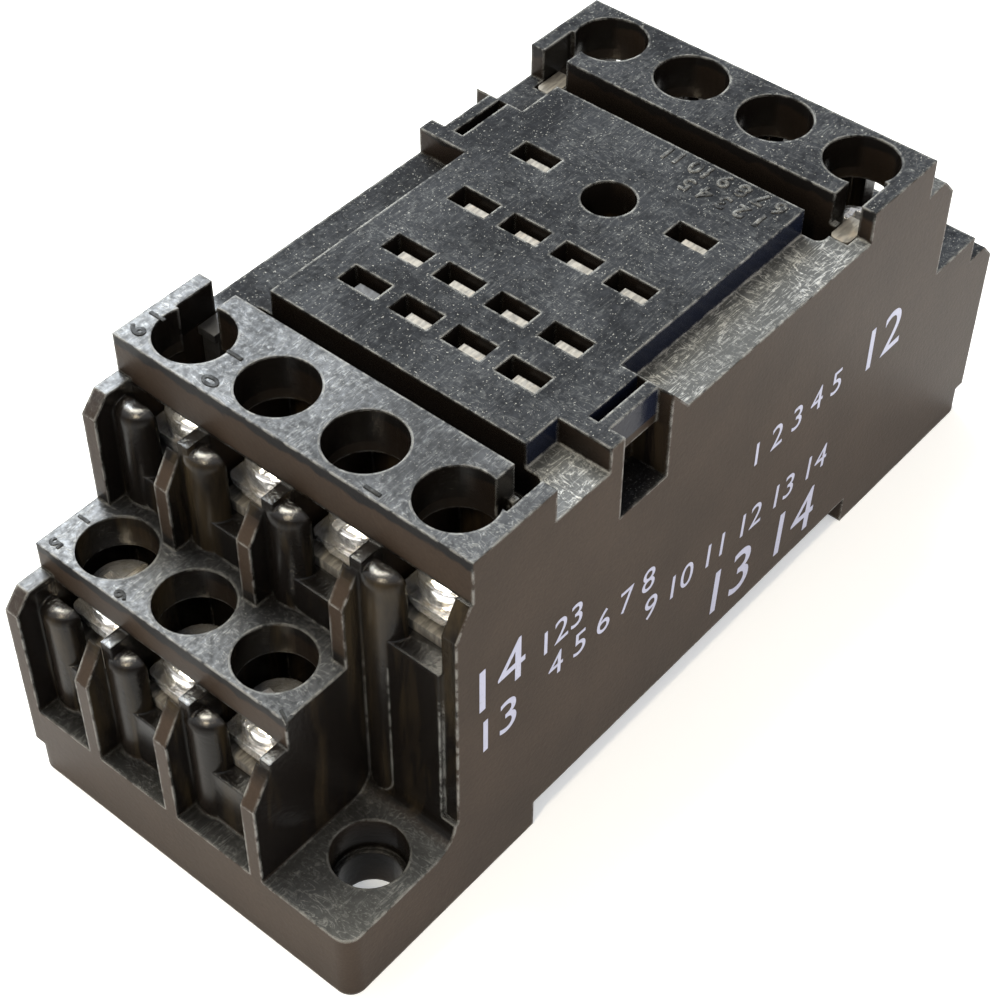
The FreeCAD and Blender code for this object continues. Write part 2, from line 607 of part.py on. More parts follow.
def make_clamp(terminal):
    """Captive saddle clamp under the screw head."""
    _, tier, x, y, lift, _ = terminal
    z = tier_floor(tier) + PLATE_T + CLAMP_GAP + lift
    half = CLAMP_WIDTH / 2
    half_depth = CLAMP_DEPTH / 2
    plate = box(x - half_depth, x + half_depth, y - half, y + half, z, z + CLAMP_T)
    corners = [e for e in plate.Edges if e.BoundBox.ZLength > CLAMP_T - 1e-6]
    plate = plate.makeFillet(0.7, corners)
    grooves = [Part.makeCylinder(GROOVE_R, CLAMP_DEPTH + 2, V(x - half_depth - 1, y + side * (half - GROOVE_IN),
                                                              z - GROOVE_R + GROOVE_RISE), V(1, 0, 0))
               for side in (-1, 1)]
    hole = drum(x, y, z - 1, z + CLAMP_T + 1, SHANK_R + CAPTIVE_GAP)
    return one_solid(less(plate, grooves + [hole]))


def make_screw(terminal):
    """Terminal screw with a cross slot, resting on its clamp."""
    _, tier, x, y, lift, _ = terminal
    z = tier_floor(tier) + PLATE_T + CLAMP_GAP + lift + CLAMP_T
    head = drum(x, y, z, z + HEAD_T, HEAD_R)
    rim = [e for e in head.Edges if e.BoundBox.ZMin > z + HEAD_T - 1e-6]
    head = head.makeFillet(0.5, rim)
    shank = drum(x, y, z - SHANK_LENGTH + HEAD_T, z + 0.1, SHANK_R)
    tip = [e for e in shank.Edges if e.BoundBox.ZMax < z - SHANK_LENGTH + HEAD_T + 1e-6]
    shank = shank.makeChamfer(0.4, tip)
    half = CROSS_LENGTH / 2
    wide = CROSS_WIDTH / 2
    bars = [box(x - half, x + half, y - wide, y + wide, z + HEAD_T - CROSS_DEPTH, z + HEAD_T + 1),
            box(x - wide, x + wide, y - half, y + half, z + HEAD_T - CROSS_DEPTH, z + HEAD_T + 1)]
    return one_solid(less(fused([head, shank]), bars))


def make_latch():
    """Sliding rail latch: T-section body with a lip that reaches under the rail."""
    inner = RAIL_FAR + LATCH_GAP
    outer = LATCH_OUTER
    half = LATCH_HALF_WIDTH
    main = box(inner, outer, -half, half, LATCH_FLOOR, LATCH_HEIGHT)
    wide = box(inner, outer, -half - LATCH_FLANGE, half + LATCH_FLANGE, LATCH_FLANGE_Z,
               LATCH_FLANGE_Z + LATCH_FLANGE_T)
    lip_points = [(RAIL_FAR - LATCH_REACH, LATCH_FLOOR + 0.35), (RAIL_FAR - LATCH_REACH, LATCH_LIP_T),
                  (inner + 0.2, LATCH_LIP_T), (inner + 0.2, LATCH_FLOOR), (RAIL_FAR - LATCH_REACH + 0.6, LATCH_FLOOR)]
    lip = side_plate(lip_points, -half, half)
    slot = box(SPRING_START, outer - LATCH_END_WEB, -SPRING_SLOT_HALF, SPRING_SLOT_HALF,
               LATCH_FLOOR - 1, LATCH_HEIGHT + 1)
    driver = box(outer - 1.0, outer + 1, -1.6, 1.6, LATCH_FLOOR - 1, LATCH_FLOOR + 1.3)
    return one_solid(less(fused([main, wide, lip]), [slot, driver]))


def make_spring():
    """Coil spring between the latch and the peg of the case."""
    height = SPRING_END - SPRING_START - 2 * SPRING_GAP - 2 * SPRING_WIRE_R
    pitch = height / SPRING_TURNS
    helix = Part.makeHelix(pitch, height, SPRING_R)
    section = Part.Wire(Part.makeCircle(SPRING_WIRE_R, V(SPRING_R, 0, 0), V(0, 1, 0)))
    coil = Part.Wire(helix.Edges).makePipeShell([section], True, True)
    coil = Part.Solid(coil) if coil.ShapeType != "Solid" else coil
    coil.rotate(V(0, 0, 0), V(0, 1, 0), 90)
    middle = (LATCH_FLOOR + LATCH_HEIGHT + LATCH_GAP) / 2
    coil.translate(V(SPRING_START + SPRING_GAP + SPRING_WIRE_R, 0, middle))
    return coil


def main():
    """Build every node and write it to parts."""
    os.makedirs("parts", exist_ok=True)
    nodes = {"housing": make_housing(), "contact_carrier": make_carrier(), "bottom_cover": make_cover(),
             "rail_latch": make_latch(), "latch_spring": make_spring()}
    for terminal in terminal_list():
        name = terminal[0]
        nodes["contact_" + name] = make_contact(terminal)
        nodes["clamp_" + name] = make_clamp(terminal)
        nodes["screw_" + name] = make_screw(terminal)
    for name, shape in nodes.items():
        print(name, shape.isValid(), round(shape.Volume, 2), len(shape.Faces))
        shape.exportStep("parts/%s.step" % name)


main()
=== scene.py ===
"""Looks of the relay socket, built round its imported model."""
import math
import random

import bpy
from mathutils import Matrix, Vector


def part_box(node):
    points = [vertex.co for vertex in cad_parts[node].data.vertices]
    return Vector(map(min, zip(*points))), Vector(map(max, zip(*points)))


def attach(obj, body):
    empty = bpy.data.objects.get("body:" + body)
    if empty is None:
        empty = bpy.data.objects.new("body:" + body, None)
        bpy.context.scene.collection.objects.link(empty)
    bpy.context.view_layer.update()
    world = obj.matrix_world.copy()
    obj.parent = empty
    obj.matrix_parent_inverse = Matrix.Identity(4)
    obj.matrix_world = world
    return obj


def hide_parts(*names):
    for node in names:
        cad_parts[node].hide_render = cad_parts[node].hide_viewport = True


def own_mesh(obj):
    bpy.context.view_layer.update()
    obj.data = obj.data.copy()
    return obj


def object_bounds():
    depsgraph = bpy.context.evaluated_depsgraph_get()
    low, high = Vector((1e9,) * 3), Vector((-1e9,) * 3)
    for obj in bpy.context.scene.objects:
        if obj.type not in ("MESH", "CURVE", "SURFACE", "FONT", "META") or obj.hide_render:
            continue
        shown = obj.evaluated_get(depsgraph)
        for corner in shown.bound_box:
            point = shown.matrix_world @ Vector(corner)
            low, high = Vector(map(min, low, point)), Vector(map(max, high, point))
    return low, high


bl_info = {
    "name": "Relay Socket Looks",
    "version": (1, 0, 0),
    "blender": (4, 5, 0),
    "location": "View3D > Sidebar > Relay Socket",
    "description": "Plastic, plated metal, terminal screws, figures and stage for a relay socket",
    "category": "Object",
}

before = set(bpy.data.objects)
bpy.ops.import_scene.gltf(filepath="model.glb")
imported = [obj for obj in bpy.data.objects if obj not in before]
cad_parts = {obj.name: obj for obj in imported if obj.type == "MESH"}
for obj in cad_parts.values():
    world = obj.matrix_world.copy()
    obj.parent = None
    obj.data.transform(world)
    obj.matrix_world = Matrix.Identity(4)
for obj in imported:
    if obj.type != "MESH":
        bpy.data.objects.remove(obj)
CAD_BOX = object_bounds()
MM = 0.001
TERMINALS = sorted(n[len("screw_"):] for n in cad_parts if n.startswith("screw_"))
# Terminals whose contact strip is painted dark, as painted shade in its hole
SHADED_STRIPS = ("near_upper_1",)

# Wire bays of the upper and lower tier: distance from the middle and height, from and to, in millimetres,
# and how softly their ends fade
BAY_ZONES = ((24.0, 26.4, 19.8, 28.2), (32.6, 34.8, 6.5, 17.0))
BAY_FADE = 0.35
# Heights of the decks whose outer edges are rubbed dark, how far down, and how ragged, in millimetres
RUBBED_DECKS = (31.6, 19.5)
RUBBED_DEPTH = 0.8
RUBBED_WAVE = 1.6
# Height of the ledges beside the seat, from and to, in millimetres
LEDGE_LEVELS = (28.4, 29.3)
# Borders of the finishes, in millimetres: where each starts to show and where it shows in full.
# Along and across are distances from the middle, and x, y and height are coordinates.
BORDERS = {
    "dividers along": (23.9, 24.1),
    "above the ledges": (28.8, 29.0),
    "above the base": (6.3, 6.6),
    "below the upper deck": (28.3, 28.1),
    "inside the outer walls across": (14.65, 14.6),
    "sides of the seat across": (9.5, 9.7),
    "length of the seat along": (15.8, 15.6),
    "right side y": (0.0, -1.0),
    "right ledges y": (2.0, 0.0),
    "seat and far decks x": (-16.5, -15.5),
    "feet height": (7.8, 7.4),
    "runs height": (28.4, 28.0),
    "polish y": (-13.0, 11.0),
}

# Moulded figures: deck level and size in millimetres, turn in degrees, then figures with their places
DECK_FIGURES = (
    (31.6, 1.7, 180, (("9", -22.9, 13.85), ("1", -21.2, 13.8), ("0", -23.2, 7.1), ("1", -20.6, 7.6),
                      ("1", -23.6, -6.6))),
    (19.5, 1.3, 180, (("5", -31.9, 13.8), ("1", -29.3, 14.0), ("6", -32.2, 7.4), ("7", -32.4, -7.0))),
    (31.05, 1.9, 90, (("1 2 3 4 5", 11.6, -6.0), ("6 7 8 9 10 11", 13.5, -4.6))),
)
# Height of a moulded figure's middle above its deck, as a share of its thickness: its foot is sunk in
FIGURE_MIDDLE = 0.3
# How much the moulded figures are fattened, in millimetres
FIGURE_BOLDNESS = 0.05
# Printed figures on the side: text, place along and up, size in millimetres and tilt in degrees
SIDE_FIGURES = (
    ("14", -21.9, 19.2, 5.6, 0.0), ("13", -21.9, 14.6, 4.4, 0.0), ("123", -15.7, 18.3, 3.1, 0.0),
    ("4 5 6 7 8", -11.3, 15.1, 3.1, -1.6), ("9 10 11 12 13 14", 4.2, 11.1, 3.2, -4.0),
    ("13 14", 7.5, 5.9, 6.2, -3.5), ("1 2 3 4 5", 10.1, 17.6, 3.1, -1.0), ("12", 20.6, 17.5, 5.6, 0.0),
)
# Thickness of the ink and how far its middle stands off the wall, in millimetres
INK_THICKNESS = 0.01
INK_STANDOFF = 0.008

# Terminal screw, in millimetres; a cut of the head is given across, along and deep
HEAD_HEIGHT = 1.8
HEAD_DOME = 0.22
HEAD_ROUNDING = 0.28
HEAD_CUTS = ((0.75, 6.0, 0.55), (0.62, 3.2, 1.05), (3.2, 0.62, 1.05))
SHANK_RADIUS = 1.45
POINT_LENGTH = 0.3
# Profile of one turn of thread: whether on the crest, and height as a share of the pitch
THREAD_PROFILE = ((False, 0.0), (False, 0.15), (True, 0.45), (True, 0.6), (False, 0.95), (False, 1.0))

# Soft lights: name, place and target in metres, size in metres, power in watts and colour
LIGHTS = (
    ("window", (0.135, 0.335, 0.355), (-0.01, 0, 0.02), (0.20, 0.20), 3.4, (0.86, 0.93, 1.0)),
    ("overhead", (0.03, 0.17, 0.46), (0, 0, 0.02), (0.28, 0.14), 2.3, (1.0, 0.95, 0.80)),
    ("side_fill", (0.05, -0.45, 0.16), (0, 0, 0.015), (0.30, 0.18), 0.5, (1.0, 0.90, 0.80)),
    ("front_fill", (-0.30, -0.06, 0.40), (-0.02, 0, 0.015), (0.05, 0.12), 1.0, (1.0, 0.86, 0.62)),
)
# Floor: width in metres, and level in millimetres, a hair below the feet
FLOOR_WIDTH = 6
FLOOR_LEVEL = -0.02
WORLD_COLOR = (0.96, 0.97, 1.0)
WORLD_STRENGTH = 0.62
# Camera: place in metres and turn in degrees
CAMERA_PLACE = (-0.0849455, -0.0674739, 0.1214907)
CAMERA_TURN = (43.5449, -0.3582, -49.7606)


def color_property(name, description, default):
    """A colour that a user would change."""
    return bpy.props.FloatVectorProperty(name=name, description=description, subtype="COLOR", size=3,
                                         default=default)


class SocketPlasticSettings(bpy.types.PropertyGroup):
    """Finish of the moulded parts"""
    deck_color: color_property("Deck colour", "Worn, upward-facing plastic", (0.026, 0.028, 0.032))
    # Painted shade: a darker colour mixed into the seat and far decks
    far_deck_shade_color: color_property("Far deck shade colour", "Painted shade on the seat and far decks",
                                (0.006, 0.007, 0.009))
    scuff_color: color_property("Scuff colour", "Fibres laid bare by handling", (0.13, 0.135, 0.135))
    speck_color: color_property("Speck colour", "Pale specks and rubbed edges", (0.42, 0.42, 0.40))
    # The warm brown of the upright walls is partly painted warm light
    side_color: color_property("Side colour", "Upright plastic walls", (0.041, 0.0285, 0.0205))
    # Painted shade: the colour of plastic that lies hollow inside the bays
    hollow_shade_color: color_property("Hollow shade colour", "Painted shade on the glossy plastic inside the wire bays",
                               (0.0062, 0.0052, 0.0045))
    # Painted light: faint brown streaks on the inside walls
    streak_light_color: color_property("Streak light colour", "Faint brown runs down the inside walls",
                              (0.034, 0.025, 0.014))
    # Painted shade with a blue cast on the seat's right sides
    seat_side_shade_color: color_property("Seat side shade colour", "Upright faces above the ledges, with a blue cast",
                                    (0.008, 0.0105, 0.021))
    ledge_wear: bpy.props.FloatProperty(
        name="Ledge wear", default=2.6,
        description="How much more the ledges beside the seat are scuffed than the decks")
    seat_sheen: bpy.props.FloatProperty(
        name="Seat sheen", default=0.08,
        description="Sheen of the seat and far decks against that of the handled near decks")
    edge_radius: bpy.props.FloatProperty(
        name="Edge radius", description="Radius at which moulded edges catch the light", default=0.00028,
        unit="LENGTH")


class SocketMetalSettings(bpy.types.PropertyGroup):
    """Finish and fine sizes of the terminal metal"""
    plating_color: color_property("Plating", "Bright zinc plating of screws and clamps",
                                  (0.92, 0.91, 0.90))
    tin_color: color_property("Tin", "Tinned contact strip", (0.24, 0.225, 0.20))
    # Painted shade on the contact strip in a shaded hole
    shaded_tin_color: color_property("Shaded tin", "Contact strip in painted shade", (0.03, 0.03, 0.032))
    wire_color: color_property("Wire", "Drawn wire of the latch spring", (0.55, 0.55, 0.56))
    spring_wire: bpy.props.FloatProperty(
        name="Spring wire", description="Radius of the wire of the latch spring", default=0.00017,
        unit="LENGTH")
    spring_turns: bpy.props.IntProperty(
        name="Spring turns", description="Turns of the latch spring", default=6, min=1)
    thread_pitch: bpy.props.FloatProperty(
        name="Thread pitch", description="Pitch of the terminal screw", default=0.0005, unit="LENGTH")
    thread_depth: bpy.props.FloatProperty(
        name="Thread depth", description="Depth of the rolled thread", default=0.00022, unit="LENGTH")


class SocketPrintSettings(bpy.types.PropertyGroup):
    """Raised and printed figures"""
    ink_color: color_property("Ink", "White pad-printed ink", (0.37, 0.38, 0.50))
    raised_height: bpy.props.FloatProperty(
        name="Raised height", default=0.00008, unit="LENGTH",
        description="Thickness of the moulded figures, most of which stands above the deck")


class SocketStageSettings(bpy.types.PropertyGroup):
    """Floor, lights and camera"""
    floor_color: color_property("Floor", "Pale studio floor", (0.86, 0.86, 0.86))
    glow_color: color_property("Glow colour", "Colour of the light that comes up through the floor",
                               (0.95, 0.98, 1.0))
    floor_glow: bpy.props.FloatProperty(
        name="Floor glow", description="Light that comes up through the floor, as from a light table",
        default=0.4)
    lens: bpy.props.FloatProperty(
        name="Lens", description="Focal length in millimetres on a 36 mm sensor", default=77.72)


def clear_selection():
    """Nothing selected and nothing active."""
    for found in bpy.context.selected_objects:
        found.select_set(False)
    bpy.context.view_layer.objects.active = None


def pick(piece):
    """Only this piece selected and active."""
    clear_selection()
    piece.select_set(True)
    bpy.context.view_layer.objects.active = piece


def shade(color, share):
    """A darker or lighter shade of a colour."""
    return tuple(c * share for c in color)


class Finish:
    """A material in the making: its shader, and short calls for the nodes that make its patterns."""

    def __init__(self, name):
        self.material = bpy.data.materials.new(name)
        self.material.use_nodes = True
        self.nodes = self.material.node_tree.nodes
        self.links = self.material.node_tree.links
        self.shader = self.nodes["Principled BSDF"]
        self.coords = self.nodes.new("ShaderNodeTexCoord").outputs["Object"]

    def feed(self, socket, value):
        """Link an output to a socket, or set a number or colour on it."""
        if isinstance(value, bpy.types.NodeSocket):
            self.links.new(value, socket)
        elif socket.type == "RGBA":
            socket.default_value = (*value, 1.0)
        else:
            socket.default_value = value

    def set_shader(self, **values):
        """Feed the shader's sockets, named with underscores for spaces."""
        for name, value in values.items():
            self.feed(self.shader.inputs[name.replace("_", " ")], value)

    def split(self, vector):
        """The X, Y and Z of a vector."""
        node = self.nodes.new("ShaderNodeSeparateXYZ")
        self.links.new(vector, node.inputs["Vector"])
        return node.outputs

    def noise(self, scale, detail, rough, stretch=(1, 1, 1), distortion=0.0):
        """Noise on object coordinates; scale is in features per metre."""
        mapping = self.nodes.new("ShaderNodeMapping")
        mapping.inputs["Scale"].default_value = stretch
        texture = self.nodes.new("ShaderNodeTexNoise")
        texture.inputs["Scale"].default_value = scale
        texture.inputs["Detail"].default_value = detail
        texture.inputs["Roughness"].default_value = rough
        texture.inputs["Distortion"].default_value = distortion
        self.links.new(self.coords, mapping.inputs["Vector"])
        self.links.new(mapping.outputs["Vector"], texture.inputs["Vector"])
        return texture.outputs["Fac"]

    def ramp(self, value, low, high, bottom=0.0, top=1.0):
        """A value mapped between two levels and held there."""
        node = self.nodes.new("ShaderNodeMapRange")
        node.inputs["From Min"].default_value = low
        node.inputs["From Max"].default_value = high
        node.inputs["To Min"].default_value = bottom
        node.inputs["To Max"].default_value = top
        self.links.new(value, node.inputs["Value"])
        return node.outputs["Result"]

    def border(self, value, name, bottom=0.0, top=1.0):
        """A place mapped across one of the named borders."""
        start, full = BORDERS[name]
        return self.ramp(value, start * MM, full * MM, bottom, top)

    def step(self, operation, first, second):
        """One maths step on two values; either may be a plain number."""
        node = self.nodes.new("ShaderNodeMath")
        node.operation = operation
        self.feed(node.inputs[0], first)
        self.feed(node.inputs[1], second)
        return node.outputs[0]

    def times(self, first, *others):
        """Values multiplied."""
        for other in others:
            first = self.step("MULTIPLY", first, other)
        return first

    def plus(self, first, second):
        """Two values added."""
        return self.step("ADD", first, second)

    def most(self, first, *others):
        """The largest of the values."""
        for other in others:
            first = self.step("MAXIMUM", first, other)
        return first

    def size_of(self, value):
        """A value without its sign."""
        return self.step("ABSOLUTE", value, 0.0)

    def without(self, value):
        """What a share leaves of one."""
        return self.ramp(value, 1.0, 0.0)

    def mix(self, factor, first, second):
        """Two values mixed."""
        node = self.nodes.new("ShaderNodeMix")
        self.feed(node.inputs["Factor"], factor)
        self.feed(node.inputs["A"], first)
        self.feed(node.inputs["B"], second)
        return node.outputs["Result"]

    def blend(self, factor, first, second):
        """Two colours mixed."""
        node = self.nodes.new("ShaderNodeMix")
        node.data_type = "RGBA"
        self.feed(node.inputs["Factor"], factor)
        self.feed(node.inputs[6], first)
        self.feed(node.inputs[7], second)
        return node.outputs[2]

    def strands(self, value, width):
        """Thin curved lines where a noise crosses its middle value."""
        return self.ramp(self.size_of(self.step("SUBTRACT", value, 0.5)), width, width * 0.2)

    def within(self, value, low, high, soft=0.12):
        """One between two places, in millimetres, and nothing outside them, with soft ends."""
        rise = self.ramp(value, (low - soft) * MM, (low + soft) * MM)
        fall = self.ramp(value, (high + soft) * MM, (high - soft) * MM)
        return self.times(rise, fall)

    def rounded(self, radius):
        """Normals of faces whose edges look rounded."""
        bevel = self.nodes.new("ShaderNodeBevel")
        bevel.samples = 3
        bevel.inputs["Radius"].default_value = radius
        return bevel.outputs["Normal"]

    def emboss(self, height, strength, distance, normal):
        """Relief from a pattern, on top of the rounded edges."""
        bump = self.nodes.new("ShaderNodeBump")
        bump.inputs["Strength"].default_value = strength
        bump.inputs["Distance"].default_value = distance
        self.links.new(height, bump.inputs["Height"])
        self.links.new(normal, bump.inputs["Normal"])
        self.feed(self.shader.inputs["Normal"], bump.outputs["Normal"])


class MouldedPlastic(Finish):
    """Black plastic: scuffed decks with strands and pale specks, warm satin sides partly painted with warm
    light, and glossy hollows in painted shade.
    """

    def __init__(self, name, settings, worn=1.0, tone=1.0):
        """Worn says how scuffed the plastic is, and tone how light."""
        super().__init__(name)
        self.settings = settings
        self.worn = worn
        self.tone = tone
        self.find_faces()
        self.find_bays()
        self.find_worn_and_shaded_places()
        self.draw_grain()
        decks = self.color_decks()
        sides = self.color_sides()
        # Upright faces take the side colour, partly painted warm light; upward faces take the deck colour
        self.set_shader(Base_Color=self.rub_edges(self.blend(self.upward, sides, decks)), IOR=1.5)
        self.shine()
        scuffs = self.times(self.hairs, self.times(self.upward, 0.5 * worn))
        relief = self.plus(self.plus(self.times(self.grit, 0.3), self.times(self.mottle, 0.8)), scuffs)
        self.emboss(relief, 0.4, 0.06 * MM, self.soft_normal)

    def find_faces(self):
        """Which way a face looks, how open it lies and where its edges are."""
        geometry = self.nodes.new("ShaderNodeNewGeometry")
        normal = geometry.outputs["Normal"]
        facing = self.split(normal)
        self.upward = self.ramp(facing["Z"], 0.55, 0.9)
        self.sideways = self.ramp(self.size_of(facing["Y"]), 0.4, 0.6)
        self.endways = self.ramp(self.size_of(facing["X"]), 0.6, 0.8, 0.0, 0.9)
        # How open a face lies; faces that lie hollow get painted shade below
        hollow = self.nodes.new("ShaderNodeAmbientOcclusion")
        hollow.samples = 3
        hollow.only_local = True
        hollow.inputs["Distance"].default_value = 6 * MM
        self.openness = hollow.outputs["AO"]
        self.soft_normal = self.rounded(self.settings.edge_radius)
        turn = self.nodes.new("ShaderNodeVectorMath")
        turn.operation = "DOT_PRODUCT"
        self.links.new(self.soft_normal, turn.inputs[0])
        self.links.new(normal, turn.inputs[1])
        self.edges = self.ramp(turn.outputs["Value"], 0.995, 0.9)

    def find_bays(self):
        """Walls and posts inside the wire bays of both tiers, sides of the dividers and of the seat: the
        places that get painted shade.
        """
        self.x, self.y, self.z = self.split(self.coords)
        along = self.size_of(self.x)
        across = self.size_of(self.y)
        tiers = [self.times(self.within(along, start, end, BAY_FADE), self.within(self.z, bottom, top))
                 for start, end, bottom, top in BAY_ZONES]
        posts = self.most(*tiers)
        above_ledges = self.border(self.z, "above the ledges")
        dividers = self.times(self.sideways, self.most(self.border(along, "dividers along"), above_ledges),
                              self.border(self.z, "above the base"))
        corner = self.times(self.within(along, *BAY_ZONES[0][:2]),
                            self.border(self.z, "below the upper deck"))
        inner = self.border(across, "inside the outer walls across")
        self.posts = self.times(posts, inner)
        self.bays = self.times(self.most(posts, dividers, corner), inner)
        self.seat_sides = self.times(self.sideways, self.border(self.y, "right side y"), above_ledges,
                                     self.border(across, "sides of the seat across"),
                                     self.border(along, "length of the seat along"))

    def find_worn_and_shaded_places(self):
        """Ledges, feet, the decks past the handled ones, and the hollows that get painted shade."""
        self.ledges = self.times(self.within(self.z, *LEDGE_LEVELS), self.border(self.y, "right ledges y"))
        self.feet = self.border(self.z, "feet height", 0.0, 0.45)
        self.past_near = self.border(self.x, "seat and far decks x")
        open_deck = self.times(self.ramp(self.openness, 0.3, 0.8), self.without(self.posts))
        self.open_deck = self.most(open_deck, self.times(self.ledges, 0.95))
        self.open_side = self.times(self.ramp(self.openness, 0.45, 0.85), self.without(self.bays))

    def draw_grain(self):
        """Mottling, wear, grit, strands and specks."""
        self.mottle = self.noise(2300, 5, 0.62)
        self.wear = self.ramp(self.noise(170, 4, 0.6), 0.38, 0.62)
        self.grit = self.noise(5200, 2, 0.5)
        long_strands = self.strands(self.noise(3000, 3, 0.55, (0.14, 1.0, 1.0), 0.5), 0.04)
        cross_strands = self.strands(self.noise(2900, 3, 0.55, (0.7, 0.25, 1.0), 0.9), 0.04)
        patches = self.ramp(self.noise(260, 3, 0.6), 0.44, 0.58)
        hairs = self.times(self.mix(patches, long_strands, cross_strands),
                           self.ramp(self.mottle, 0.36, 0.58), self.ramp(self.wear, 0.0, 1.0, 0.3, 1.0))
        bare = self.ramp(self.most(self.ledges, self.feet), 0.0, 1.0, 1.0, self.settings.ledge_wear)
        fine = self.ramp(self.step("SUBTRACT", self.past_near, self.ledges), 0.0, 1.0, 1.0, 0.55)
        self.hairs = self.times(hairs, self.times(bare, fine))
        self.flecks = self.times(self.ramp(self.noise(6500, 2, 0.55), 0.66, 0.7),
                                 self.border(self.x, "seat and far decks x", 0.4, 1.0))

    def color_decks(self):
        """Dark decks that are scuffed pale, most of all on the ledges and feet, with the ledges lightened
        partly as painted light.
        """
        scuff, speck = self.settings.scuff_color, self.settings.speck_color
        base = self.settings.deck_color
        blotch = self.plus(self.times(self.mottle, 0.6), self.times(self.wear, 0.3))
        color = self.blend(self.ramp(blotch, 0.3, 0.62), shade(base, 0.65 * self.tone),
                           shade(base, 1.5 * self.tone))
        # Painted shade: the seat and far decks are darkened
        color = self.blend(self.times(self.past_near, 0.35), color, self.settings.far_deck_shade_color)
        # The ledges are lightened partly for their scuffs and partly as painted light; the feet for their
        # scuffs
        color = self.blend(self.most(self.feet, self.times(self.ledges, 0.6)), color, shade(scuff, 0.6))
        color = self.blend(self.times(self.hairs, 0.85 * self.worn), color, scuff)
        # Paler strands on the ledges, partly painted light
        color = self.blend(self.times(self.hairs, self.times(self.ledges, 0.3)), color, speck)
        color = self.blend(self.times(self.flecks, 0.6 * self.worn), color, speck)
        # Painted shade on the decks where they lie hollow
        return self.blend(self.open_deck, self.settings.hollow_shade_color, color)

    def color_sides(self):
        """Warm walls, their brown partly painted warm light, with rubbed bands below the decks, and
        hollows in painted shade with brown streaks of painted light.
        """
        base = self.settings.side_color
        cloud = self.ramp(self.noise(140, 3, 0.55), 0.3, 0.7)
        color = self.blend(cloud, shade(base, 0.84 * self.tone), shade(base, 1.14 * self.tone))
        color = self.blend(self.ramp(self.grit, 0.3, 0.75, 0.0, 0.4), color, shade(base, 0.55))
        color = self.blend(self.rubbed_bands(), color, shade(self.settings.deck_color, 0.35))
        # Painted light: brown streaks on the hollow walls, within the painted shade
        light_streaks = self.ramp(self.noise(420, 4, 0.6, (1.0, 1.0, 0.14), 0.4), 0.5, 0.72)
        deep = self.blend(self.times(light_streaks, self.border(self.z, "runs height")), self.settings.hollow_shade_color,
                          self.settings.streak_light_color)
        # Painted shade: the seat's right sides get a dark blue
        deep = self.blend(self.seat_sides, deep, self.settings.seat_side_shade_color)
        # Painted shade on the walls where they lie hollow
        return self.blend(self.open_side, deep, color)

    def rubbed_bands(self):
        """Ragged bands below the deck edges on the end faces."""
        wave = self.times(self.step("SUBTRACT", self.noise(420, 4, 0.6), 0.5), RUBBED_WAVE * MM)
        level = self.plus(self.z, wave)
        bands = [self.within(level, deck - RUBBED_DEPTH, deck + 1) for deck in RUBBED_DECKS]
        return self.times(self.most(*bands), self.endways)

    def rub_edges(self, color):
        """A colour with the open edges rubbed pale in places."""
        rub = self.ramp(self.noise(900, 5, 0.7), 0.42, 0.56, 0.05, 0.95 * self.worn)
        return self.blend(self.times(self.edges, rub, self.open_deck), color, self.settings.speck_color)

    def shine(self):
        """Glossy hollows and posts, satin walls, and decks that shine where they are handled."""
        rough_decks = self.ramp(self.mottle, 0.35, 0.65, 0.48, 0.30)
        rough_sides = self.ramp(self.open_side, 0.0, 1.0, 0.2, 0.45)
        sheen = self.times(self.ramp(self.mottle, 0.36, 0.62, 0.24, 0.42),
                           self.ramp(self.wear, 0.0, 1.0, 0.7 * self.tone, 1.3 * self.tone))
        sheen = self.plus(sheen, self.times(self.hairs, 0.5 * self.worn))
        handled = self.times(self.without(self.past_near), self.border(self.y, "polish y", 0.35, 1.1))
        polish = self.plus(handled, self.ramp(self.past_near, 0.0, 1.0, 0.0, self.settings.seat_sheen))
        sheen = self.times(sheen, self.most(polish, self.ledges))
        self.set_shader(
            Roughness=self.mix(self.times(self.upward, self.open_deck), rough_sides, rough_decks),
            Specular_IOR_Level=self.mix(self.upward, self.ramp(self.open_side, 0.0, 1.0, 0.10, 0.06),
                                        self.mix(self.posts, sheen, 1.0)))


def bright_metal(name, color, roughness, metallic=0.8, warm=(0.82, 0.74, 0.56), streaks=0.15):
    """Plated metal with faint drawing lines, blotches of stain and dents that catch the light."""
    finish = Finish(name)
    blotch = finish.noise(850, 3, 0.55)
    tone = finish.blend(finish.ramp(blotch, 0.5, 0.7, 0.0, 0.6), color, warm)
    lines = finish.noise(3800, 2, 0.5, (0.25, 1.0, 0.25))
    tone = finish.blend(finish.ramp(lines, 0.4, 0.62, streaks, 0.0), tone, shade(color, 0.35))
    finish.set_shader(Base_Color=tone, Metallic=metallic,
                      Roughness=finish.ramp(lines, 0.3, 0.7, roughness, roughness + 0.14))
    finish.emboss(blotch, 0.5, 0.2 * MM, finish.rounded(0.12 * MM))
    return finish.material


def printed_ink(name, color):
    """White ink with thin spots where the grain shows through."""
    finish = Finish(name)
    thin = finish.ramp(finish.noise(4200, 3, 0.6), 0.58, 0.72, 0.0, 0.55)
    finish.set_shader(Base_Color=finish.blend(thin, color, (0.16, 0.15, 0.15)), Roughness=0.5)
    return finish.material


def floor_paper(name, settings):
    """Pale paper, lit through from below."""
    finish = Finish(name)
    tone = finish.ramp(finish.noise(40, 3, 0.5), 0.3, 0.7)
    color = finish.blend(tone, shade(settings.floor_color, 0.985), settings.floor_color)
    finish.set_shader(Base_Color=color, Roughness=0.7, Emission_Color=settings.glow_color,
                      Emission_Strength=settings.floor_glow)
    return finish.material


